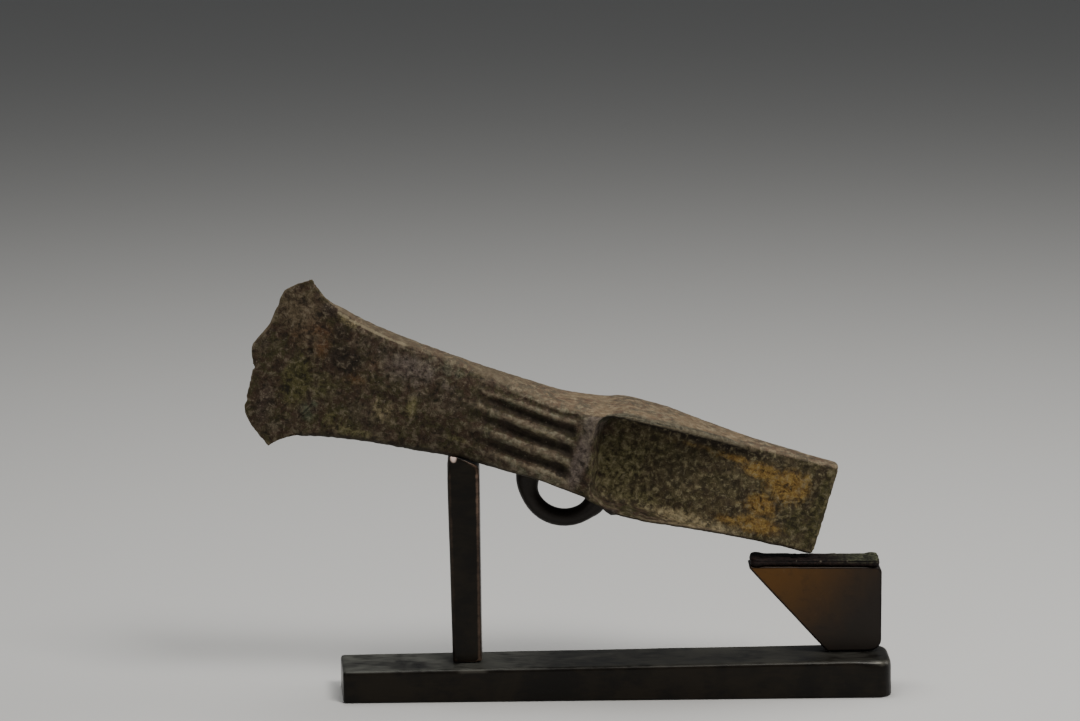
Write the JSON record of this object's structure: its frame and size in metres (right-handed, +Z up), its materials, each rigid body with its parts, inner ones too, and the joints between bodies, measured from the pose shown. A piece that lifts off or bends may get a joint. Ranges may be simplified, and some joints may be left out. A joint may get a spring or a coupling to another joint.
{
  "type": "bronze palstave axe head on a stand",
  "caption": "Looped bronze palstave axe head with ribbed faces, a stop and flanged haft beds, lying on a small bronze stand with a notched post and a padded wedge.",
  "frame": {"origin": "centre of the underside of the stand's base bar", "axes": "+Z up, +X along the bar towards the butt end of the axe, -Y towards the side that is seen"},
  "size_m": [0.1806, 0.0301, 0.1194],
  "materials": {
    "axe_bronze": "matt brown and green bronze patina",
    "stand_bronze": "dark satin bronze patina",
    "wedge_bronze": "golden brown satin bronze patina",
    "pad_leather": "worn leather"
  },
  "bodies": {
    "root": {"axe_head": "axe_bronze", "stand_base": "stand_bronze", "stand_post": "stand_bronze", "stand_wedge": "wedge_bronze", "wedge_pad": "pad_leather"}
  },
  "joints": []
}
